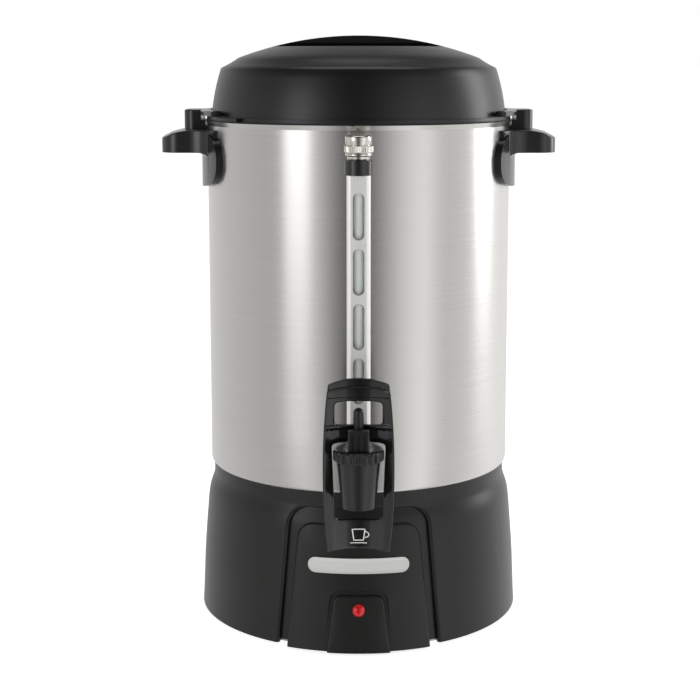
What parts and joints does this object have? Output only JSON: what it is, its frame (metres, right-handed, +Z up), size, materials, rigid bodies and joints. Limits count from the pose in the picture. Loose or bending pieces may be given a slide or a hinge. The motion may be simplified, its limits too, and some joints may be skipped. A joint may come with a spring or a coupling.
{
  "type": "coffee urn",
  "caption": "Round brushed-metal coffee urn on a flared black base, with domed lid, side handles, sight gauge and a cup-pressed dispensing faucet.",
  "frame": {"origin": "on the tank axis, in the plane that the four feet stand on", "axes": "+Z up along the tank axis, -Y to the front where the faucet is, +X and -X to the carrying handles"},
  "size_m": [0.303, 0.3199, 0.4532],
  "materials": {
    "black_plastic_satin": "moulded phenolic, satin black",
    "black_plastic_gloss": "moulded plastic, gloss black",
    "black_plastic_semi": "moulded plastic, semi-gloss black",
    "lid_plastic": "moulded plastic, fine satin black",
    "brushed_aluminium": "brushed round the tank",
    "plain_aluminium": "drawn, plain",
    "gauge_channel_metal": "bright satin",
    "nickel": "nickel plated",
    "steel": "plain zinc plated steel",
    "rubber": "moulded rubber",
    "silicone": "silicone",
    "gauge_glass": "clear tube",
    "red_lens": "moulded red jewel",
    "lamp_glass": "neon lamp",
    "element_steel": "element sheath",
    "wire_insulation": "glass braid lead"
  },
  "bodies": {
    "urn": {"base_housing": "black_plastic_satin", "base_plate": "steel", "rubber_feet": "rubber", "base_plate_screws": "steel", "cord_gland": "black_plastic_semi", "pilot_lens": "red_lens", "pilot_lamp": "lamp_glass", "tank": "brushed_aluminium", "tank_stud_nuts": "steel", "heater_well": "plain_aluminium", "heater_well_gasket": "silicone", "heater_well_nut": "steel", "heater_band": "element_steel", "keep_warm_element": "element_steel", "keep_warm_clips": "steel", "thermostat": "black_plastic_semi", "thermal_cutoff": "steel", "heat_shield": "plain_aluminium", "lead_wires": "wire_insulation", "right_handle": "black_plastic_gloss", "left_handle": "black_plastic_gloss", "handle_screws": "steel", "handle_screw_washers": "silicone", "faucet_body": "black_plastic_semi", "faucet_outer_gasket": "silicone", "faucet_inner_gasket": "silicone", "faucet_shank_nut": "steel", "valve_spring": "steel", "gauge_tube": "gauge_glass", "gauge_bottom_seal": "silicone", "gauge_shield": "gauge_channel_metal", "gauge_bracket": "black_plastic_semi", "gauge_bracket_screw": "steel"},
    "faucet_bonnet": {"faucet_bonnet": "black_plastic_semi"},
    "valve_stem": {"valve_stem": "steel", "seat_cup": "silicone", "lever_pin": "steel"},
    "lever": {"faucet_handle": "black_plastic_semi", "dispensing_lever": "black_plastic_gloss"},
    "gauge_cap": {"gauge_cap": "nickel"},
    "lid_seal": {"lid_seal": "silicone"},
    "lid": {"lid_shell": "lid_plastic", "lid_handle": "black_plastic_semi", "lid_handle_screws": "steel"},
    "pump_tube": {"pump_tube": "plain_aluminium"},
    "coffee_basket": {"coffee_basket": "plain_aluminium"},
    "basket_cover": {"basket_cover": "plain_aluminium"}
  },
  "joints": [
    {"name": "lid_lift", "type": "slide", "parent": "urn", "child": "lid_seal", "axis": [0, 0, 1], "range_m": [0, 0.13]},
    {"name": "lid_turn", "type": "hinge", "parent": "lid_seal", "child": "lid", "pos_m": [0, 0, 0.4], "axis": [0, 0, 1], "range_deg": [-30, 0]},
    {"name": "stem_lift", "type": "slide", "parent": "urn", "child": "valve_stem", "axis": [0, 0, 1], "range_m": [0, 0.0026], "deforming": ["valve_spring"]},
    {"name": "lever_tilt", "type": "hinge", "parent": "valve_stem", "child": "lever", "pos_m": [0, -0.168, 0.174], "axis": [1, 0, 0], "range_deg": [0, 12], "stiffness_Nm_per_rad": 0.2, "springref_deg": -11.46},
    {"name": "bonnet_turn", "type": "hinge", "parent": "urn", "child": "faucet_bonnet", "pos_m": [0, -0.168, 0.16], "axis": [0, 0, 1], "range_deg": [0, 360]},
    {"name": "gauge_cap_turn", "type": "hinge", "parent": "urn", "child": "gauge_cap", "pos_m": [0, -0.131, 0.37], "axis": [0, 0, 1], "range_deg": [0, 720]},
    {"name": "tube_lift", "type": "slide", "parent": "urn", "child": "pump_tube", "axis": [0, 0, 1], "range_m": [0, 0.012]},
    {"name": "basket_lift", "type": "slide", "parent": "pump_tube", "child": "coffee_basket", "axis": [0, 0, 1], "range_m": [0, 0.012]},
    {"name": "cover_lift", "type": "slide", "parent": "coffee_basket", "child": "basket_cover", "axis": [0, 0, 1], "range_m": [0, 0.012]}
  ],
  "couplings": [
    {"joint": "stem_lift", "follows": "lever_tilt", "m_per_rad": 0.012}
  ]
}
